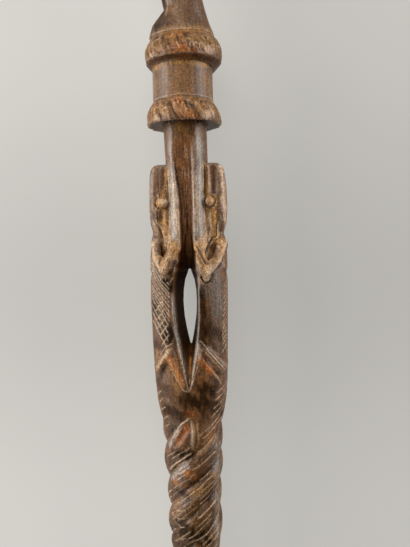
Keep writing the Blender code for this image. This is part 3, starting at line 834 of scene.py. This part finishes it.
# Oiled hardwood, cut with an adze and knife and handled for years: dark where the patina is
# whole, tan on rubbed edges, golden in the sheltered cuts, and glossy where hands reach; with
# painted shade in its cracks, under its collars and in the slit, and painted highlights and sheen.
wood = {
    "heart": "#382008",
    "sap": "#744616",
    # dark of patina and dirt, also used for painted shade
    "soot": "#120A02",
    # painted shade in the collars' cracks and under the collars
    "shade": "#341A0A",
    # painted shade on the slit's walls
    "inside": "#2C180C",
    "channel": "#7E4C22",
    "ochre": "#B5854A",
    "ember": "#B4621F",
    # tan of wear, also used for painted highlights
    "rubbed": "#C5A78A",
    # the grey of painted sheen, light mirrored by the glossy wood
    "bloom": "#938E87",
    # noises: mm across the grain, mm along it, and detail
    "grain": {"broad": (4.4, 52.0, 2.0), "fine": (1.1, 26.0, 4.0), "pores": (0.35, 7.8, 2.0)},
    "figure": (0.65, 1.4),     # noise from heart to sap
    "fleck": 1.3,              # mm between the specks of its handled skin
    "fleckShades": (0.52, 1.3),
    "roughness": 0.46,
    "coatRoughness": 0.3,
    "grainBump": 0.25,         # mm
    # from below: mask and its full value, colour, share, the mask that keeps it off, and the
    # noise that breaks it up with that noise's low and high ends
    "layers": (
        ("ember", 1, "ember", 1.0, None, "fine", 0.25, 0.6),
        ("ochre", 1, "ochre", 1.0, None, "fine", 0.2, 0.55),
        # dark patina, and painted shade
        ("soot", 1, "soot", 1.0, None, "broad", 0.1, 0.46),
        # painted sheen
        ("bloom", 1, "bloom", 1.0, None, "fine", 0.25, 0.65),
        # wear, and painted highlights
        ("rubbed", 1, "rubbed", 1.0, None, "pores", 0.3, 0.6),
        # painted sheen along the slit's edge
        ("rim", 1, "bloom", 1.0, None, "fine", 0.3, 0.6),
        ("channel", 1, "channel", 1.0, None, "fine", 0.2, 0.7),
        # painted shade
        ("shade", 1, "shade", 1.0, None, "fine", 0.1, 0.4),
        # painted shade on the slit's walls
        ("depth", 1, "inside", 1.0, None, None, 0, 0),
        ("hollow", 1, "soot", 0.95, "ochre", None, 0, 0),
        ("crest", 1, "rubbed", 0.85, "soot", "pores", 0.35, 0.8),
        ("tone", -1, "soot", 1.0, None, None, 0, 0),
        ("tone", 1, "rubbed", 1.0, None, None, 0, 0),
    ),
    # dirt, dry cuts and painted shade don't shine: how dull each mask makes the wood
    "dull": {"ochre": 0.8, "ember": 0.8, "soot": 1.0, "shade": 1.0, "hollow": 1.0, "depth": 1.0},
    "coat": (0.15, 0.0, 0.6),      # on clean and on dull wood, and how dull that is
    "gloss": (0.45, 0.05, 1.0),    # the same for the specular level
}


def oiledHardwood():
    material = bpy.data.materials.new("oiledCarvedHardwood")
    material.use_nodes = True
    tree = material.node_tree
    shader = tree.nodes["Principled BSDF"]
    place = addNode(tree, "ShaderNodeTexCoord").outputs["Object"]
    noises = {}
    for name, (width, length, detail) in wood["grain"].items():
        # drawn out along the staff; the object is in metres
        scaled = addNode(tree, "ShaderNodeMapping", {
            "Vector": place, "Scale": (1000 / width, 1000 / length, 1000 / width)})
        noises[name] = addNode(tree, "ShaderNodeTexNoise", {
            "Vector": scaled.outputs[0], "Scale": 1.0, "Detail": detail,
            "Roughness": 0.6}).outputs["Fac"]
    flecks = addNode(tree, "ShaderNodeTexNoise", {
        "Vector": place, "Scale": 1000 / wood["fleck"], "Detail": 2.0}).outputs["Fac"]
    masks = {name: addNode(tree, "ShaderNodeAttribute", attribute_name=name).outputs["Fac"]
             for name in sorted({layer[0] for layer in wood["layers"]})}

    low, high = wood["figure"]
    figure = addNode(tree, "ShaderNodeMath", {0: noises["broad"], 1: noises["fine"]},
                     operation="ADD")
    figure = addNode(tree, "ShaderNodeMapRange", {
        "Value": figure.outputs[0], "From Min": low, "From Max": high})
    colour = addNode(tree, "ShaderNodeMix", {
        0: figure.outputs[0], 6: linear(wood["heart"]), 7: linear(wood["sap"])},
        data_type="RGBA").outputs[2]
    for name, full, hexColour, share, unless, noise, low, high in wood["layers"]:
        parts = [(masks[name], 0.0, full)]
        if unless:
            parts.append((masks[unless], 1.0, 0.0))
        if noise:
            parts.append((noises[noise], low, high))
        for value, first, last in parts:
            part = addNode(tree, "ShaderNodeMapRange", {
                "Value": value, "From Min": first, "From Max": last})
            share = addNode(tree, "ShaderNodeMath", {0: share, 1: part.outputs[0]},
                            operation="MULTIPLY").outputs[0]
        colour = addNode(tree, "ShaderNodeMix", {
            0: share, 6: colour, 7: linear(wood[hexColour])}, data_type="RGBA").outputs[2]
    low, high = wood["fleckShades"]
    dim = addNode(tree, "ShaderNodeMapRange", {
        "Value": flecks, "From Min": 0.35, "From Max": 0.65, "To Min": low, "To Max": high})
    colour = addNode(tree, "ShaderNodeMix", {
        0: 1.0, 6: colour, 7: dim.outputs[0]}, data_type="RGBA", blend_type="MULTIPLY").outputs[2]
    tree.links.new(colour, shader.inputs["Base Color"])

    rough = addNode(tree, "ShaderNodeMath", {0: noises["pores"], 1: flecks}, operation="ADD")
    bump = addNode(tree, "ShaderNodeBump", {
        "Height": rough.outputs[0], "Distance": wood["grainBump"] / 1000, "Strength": 0.5})
    tree.links.new(bump.outputs[0], shader.inputs["Normal"])
    dull = 0.0
    for name, share in wood["dull"].items():
        part = addNode(tree, "ShaderNodeMath", {0: masks[name], 1: share}, operation="MULTIPLY")
        dull = addNode(tree, "ShaderNodeMath", {0: dull, 1: part.outputs[0]},
                       operation="MAXIMUM").outputs[0]
    for socket, (clean, dry, at) in (("Coat Weight", wood["coat"]),
                                     ("Specular IOR Level", wood["gloss"])):
        part = addNode(tree, "ShaderNodeMapRange", {
            "Value": dull, "From Min": 0.0, "From Max": at, "To Min": clean, "To Max": dry})
        tree.links.new(part.outputs[0], shader.inputs[socket])
    shader.inputs["Roughness"].default_value = wood["roughness"]
    shader.inputs["Coat Roughness"].default_value = wood["coatRoughness"]
    return material


# What a hand rubs and what dirt fills is read from the carved form.
wear = {
    "reach": 24,        # smoothing passes that the form is compared with
    # mm proud of the smoothed form, or under it, where the mark starts and is full
    "crest": (0.04, 0.16),
    "hollow": (0.066, 0.22),
}


def readRelief(staff):
    mesh = staff.data
    co, out = coordinates(mesh), normals(mesh)
    even = bpy.data.objects.new("even", mesh.copy())
    bpy.context.scene.collection.objects.link(even)
    withModifier(even, "SMOOTH", iterations=wear["reach"], factor=0.5)
    proud = ((co - coordinates(even.data)) * out).sum(1)
    bpy.data.objects.remove(even)
    storeMask(mesh, "crest", smoothStep(*wear["crest"], proud))
    storeMask(mesh, "hollow", smoothStep(*wear["hollow"], -proud))


def closeSkin(mesh):
    # thinning can leave two faces back to back on the same three corners
    bm = bmesh.new()
    bm.from_mesh(mesh)
    alike = {}
    for face in bm.faces:
        alike.setdefault(frozenset(v.index for v in face.verts), []).append(face)
    doubled = [face for faces in alike.values() if len(faces) > 1 for face in faces]
    bmesh.ops.delete(bm, geom=doubled, context="FACES")
    loose = sum(len(edge.link_faces) != 2 for edge in bm.edges)
    bm.to_mesh(mesh)
    bm.free()
    print("doubled faces taken off", len(doubled), "loose edges", loose)


def layDown(mesh):
    # takes off what the carving raised under the flats that the staff lies on
    co = coordinates(mesh)
    co[:, 2] = np.maximum(co[:, 2], 0.0)
    setCoordinates(mesh, co)


studio = {
    "eyeDistance": 450.2,     # mm from the staff's axis
    "orbit": 6.6,             # degrees round to the staff's right
    "turn": -1.555,           # degrees between the lens and the axis
    "roll": 1.63,
    "focal": 39.49,           # mm
    "sensor": 36.0,           # mm
    "table": 3.0,             # m from its middle to its edge
    "floor": "#696865",
    "floorRoughness": 0.9,
    "glow": 2.75,             # painted light: the table glows as well
    # painted light and shade: the glow is uneven across and along the table
    "glowAcross": (-0.05, 0.13, 1.11, 0.89),   # from and to in m, shares to its left and right
    "glowAlong": (0.20, 0.89, 1.10),   # half length in m, shares at its middle and ends
    "room": "#EAE4D8",
    "roomLight": 0.15,
    # soft lights: direction from the staff, metres away, size in m, watts and colour
    "lamps": {
        "leftBox": ((-1.0, 0.2, 0.35), 2.4, (1.9, 0.95), 74.0, (1.0, 0.98, 0.94)),
        "rightBox": ((1.0, 0.26, 0.24), 2.4, (1.8, 0.75), 58.0, (1.0, 0.98, 0.95)),
        "headBox": ((-0.1, 1.0, 0.85), 1.6, (1.2, 0.9), 17.5, (1.0, 0.99, 0.95)),
        "footBox": ((-0.7, -1.0, 0.45), 1.6, (1.0, 0.65), 8.0, (1.0, 0.97, 0.93)),
    },
}


def placeCamera():
    orbit = math.radians(studio["orbit"])
    aim = orbit + math.radians(studio["turn"])
    roll = math.radians(studio["roll"])
    across = Vector((math.cos(aim), 0, -math.sin(aim)))
    along = Vector((0, 1, 0))
    right = math.cos(roll) * across - math.sin(roll) * along
    up = math.sin(roll) * across + math.cos(roll) * along
    eye = Vector((math.sin(orbit), 0, math.cos(orbit))) * studio["eyeDistance"]
    turned = Matrix((right, up, right.cross(up))).transposed()
    turned = toWorld.to_3x3().normalized() @ turned
    lens = bpy.data.cameras.new("camera")
    lens.sensor_fit = "AUTO"
    lens.sensor_width = studio["sensor"]
    lens.lens = studio["focal"]
    lens.clip_start = 0.01
    camera = bpy.data.objects.new("camera", lens)
    camera.matrix_world = Matrix.Translation(toWorld @ eye) @ turned.to_4x4()
    bpy.context.scene.collection.objects.link(camera)
    bpy.context.scene.camera = camera


def softbox(name, target, direction, distance, size, watts, colour):
    # a soft light that looks at the target from that direction
    light = bpy.data.lights.new(name, "AREA")
    light.shape = "RECTANGLE"
    light.size, light.size_y = size
    light.energy = watts
    light.color = colour
    direction = Vector(direction).normalized()
    lamp = bpy.data.objects.new(name, light)
    lamp.location = target + direction * distance
    lamp.rotation_euler = direction.to_track_quat("Z", "Y").to_euler()
    bpy.context.scene.collection.objects.link(lamp)


def paintedTableGlow(tree, shader):
    # painted light and shade: the glow is brighter to the left and towards the ends, darker to the
    # right and at the middle
    middle = toWorld @ Vector((0, 0, 0))
    place = addNode(tree, "ShaderNodeTexCoord").outputs["Object"]
    place = addNode(tree, "ShaderNodeVectorMath", {0: place, 1: middle},
                    operation="SUBTRACT").outputs[0]
    place = addNode(tree, "ShaderNodeSeparateXYZ", {0: place}).outputs
    first, last, left, right = studio["glowAcross"]
    length, core, ends = studio["glowAlong"]
    across = addNode(tree, "ShaderNodeMapRange", {
        "Value": place[0], "From Min": first, "From Max": last,
        "To Min": studio["glow"] * left, "To Max": studio["glow"] * right},
        interpolation_type="SMOOTHSTEP").outputs[0]
    away = addNode(tree, "ShaderNodeMath", {0: place[1]}, operation="ABSOLUTE").outputs[0]
    along = addNode(tree, "ShaderNodeMapRange", {
        "Value": away, "From Min": 0.0, "From Max": length, "To Min": core, "To Max": ends},
        interpolation_type="SMOOTHSTEP").outputs[0]
    strength = addNode(tree, "ShaderNodeMath", {0: across, 1: along}, operation="MULTIPLY")
    tree.links.new(strength.outputs[0], shader.inputs["Emission Strength"])


def makeStudio():
    bm = bmesh.new()
    bmesh.ops.create_grid(bm, x_segments=2, y_segments=2, size=studio["table"])
    mesh = bpy.data.meshes.new("floor")
    bm.to_mesh(mesh)
    bm.free()
    floor = bpy.data.objects.new("floor", mesh)
    bpy.context.scene.collection.objects.link(floor)
    # matte opal acrylic mirrors nothing; its soft glow is painted light
    material = bpy.data.materials.new("matteOpalAcrylicTable")
    material.use_nodes = True
    shader = material.node_tree.nodes["Principled BSDF"]
    shader.inputs["Base Color"].default_value = linear(studio["floor"])
    shader.inputs["Roughness"].default_value = studio["floorRoughness"]
    shader.inputs["Emission Color"].default_value = linear(studio["floor"])
    paintedTableGlow(material.node_tree, shader)
    floor.data.materials.append(material)

    world = bpy.data.worlds.new("room")
    bpy.context.scene.world = world
    world.use_nodes = True
    air = world.node_tree.nodes["Background"].inputs
    air["Color"].default_value = linear(studio["room"])
    air["Strength"].default_value = studio["roomLight"]
    for name, lamp in studio["lamps"].items():
        softbox(name, toWorld @ Vector((0, 0, 0)), *lamp)
    bpy.context.scene.view_settings.view_transform = "Standard"


staff = makeBlock()
print("block", len(staff.data.polygons), "faces")
carve(staff)
print("carved")
readRelief(staff)
stain(staff)
print("stained")
oiled = oiledHardwood()
cutLines(staff, layCuts(staff), oiled)
print("cuts made")
triangles = sum(len(p.vertices) - 2 for p in staff.data.polygons)
withModifier(staff, "DECIMATE", ratio=block["triangles"] / triangles)
print("thinned to", len(staff.data.polygons), "faces")
staff.data.transform(toWorld)
closeSkin(staff.data)
layDown(staff.data)
staff.data.shade_smooth()
staff.data.materials.clear()
staff.data.materials.append(oiled)
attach(staff, "root")
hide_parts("staff")
makeStudio()
placeCamera()
print("studio set")
